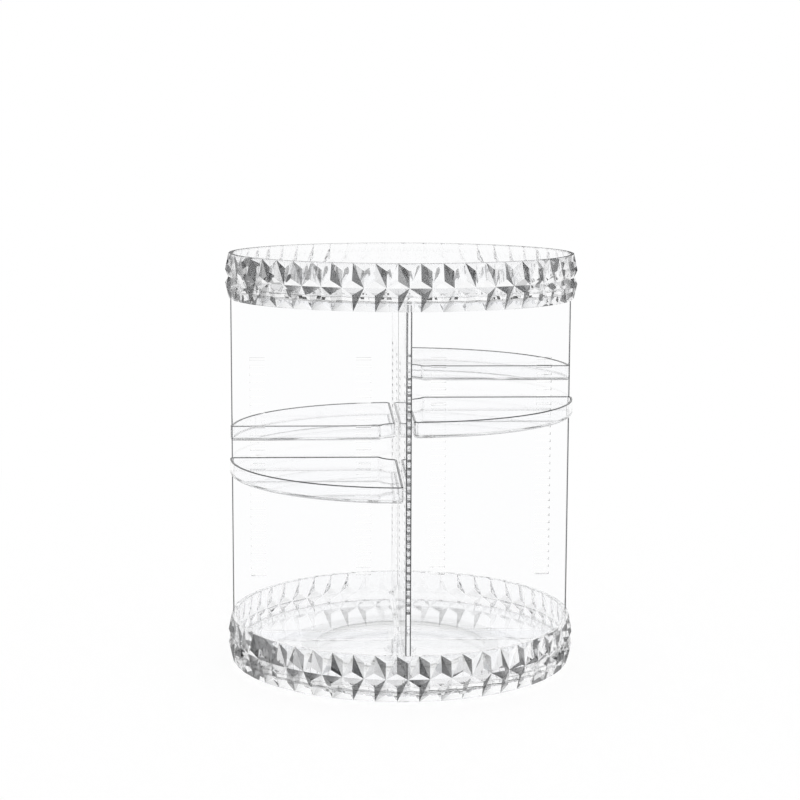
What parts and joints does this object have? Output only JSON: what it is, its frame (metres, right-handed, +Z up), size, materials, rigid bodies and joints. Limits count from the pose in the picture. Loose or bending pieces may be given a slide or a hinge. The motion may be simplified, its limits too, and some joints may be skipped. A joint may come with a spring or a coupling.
{
  "type": "rotating makeup organizer",
  "caption": "Clear plastic turntable organiser: two round trays with diamond-cut rings, crossed upright panels with a ladder of slots, and quarter shelves that hang on the slots.",
  "frame": {"origin": "on the table under the turning axis, at the bottom centre of the box", "axes": "+Z up along the turning axis, -Y the pictured front, +X to the right"},
  "size_m": [0.2296, 0.2296, 0.273],
  "materials": {
    "clear_plastic": "clear, polished",
    "pad_rubber": "matte",
    "wear_ring": "satin",
    "bearing_steel": "polished",
    "pivot_steel": "zinc plated"
  },
  "bodies": {
    "foot": {"foot_disc": "clear_plastic", "foot_pads": "pad_rubber", "race_lower": "wear_ring"},
    "ball_train": {"ball_cage": "wear_ring", "bearing_balls": "bearing_steel"},
    "carousel": {"base_tray": "clear_plastic", "upright_right": "clear_plastic", "upright_back": "clear_plastic", "upright_left": "clear_plastic", "upright_front": "clear_plastic", "top_tray": "clear_plastic", "race_upper": "wear_ring", "pivot_washer": "pivot_steel", "pivot_screw": "pivot_steel"},
    "shelf_back_right": {"shelf_back_right": "clear_plastic"},
    "shelf_back_left": {"shelf_back_left": "clear_plastic"},
    "shelf_front_left": {"shelf_front_left": "clear_plastic"},
    "shelf_front_right": {"shelf_front_right": "clear_plastic"}
  },
  "joints": [
    {"name": "carousel_spin", "type": "hinge", "parent": "foot", "child": "carousel", "pos_m": [0, 0, 0.00705], "axis": [0, 0, 1], "continuous": true},
    {"name": "ball_train_orbit", "type": "hinge", "parent": "foot", "child": "ball_train", "pos_m": [0, 0, 0.00705], "axis": [0, 0, 1], "continuous": true},
    {"name": "shelf_back_right_pull", "type": "slide", "parent": "carousel", "child": "shelf_back_right", "axis": [0.7071, 0.7071, 0], "range_m": [0, 0.12]},
    {"name": "shelf_back_left_pull", "type": "slide", "parent": "carousel", "child": "shelf_back_left", "axis": [-0.7071, 0.7071, 0], "range_m": [0, 0.12]},
    {"name": "shelf_front_left_pull", "type": "slide", "parent": "carousel", "child": "shelf_front_left", "axis": [-0.7071, -0.7071, 0], "range_m": [0, 0.12]},
    {"name": "shelf_front_right_pull", "type": "slide", "parent": "carousel", "child": "shelf_front_right", "axis": [0.7071, -0.7071, 0], "range_m": [0, 0.12]}
  ],
  "couplings": [
    {"joint": "ball_train_orbit", "follows": "carousel_spin", "ratio": 0.5}
  ]
}
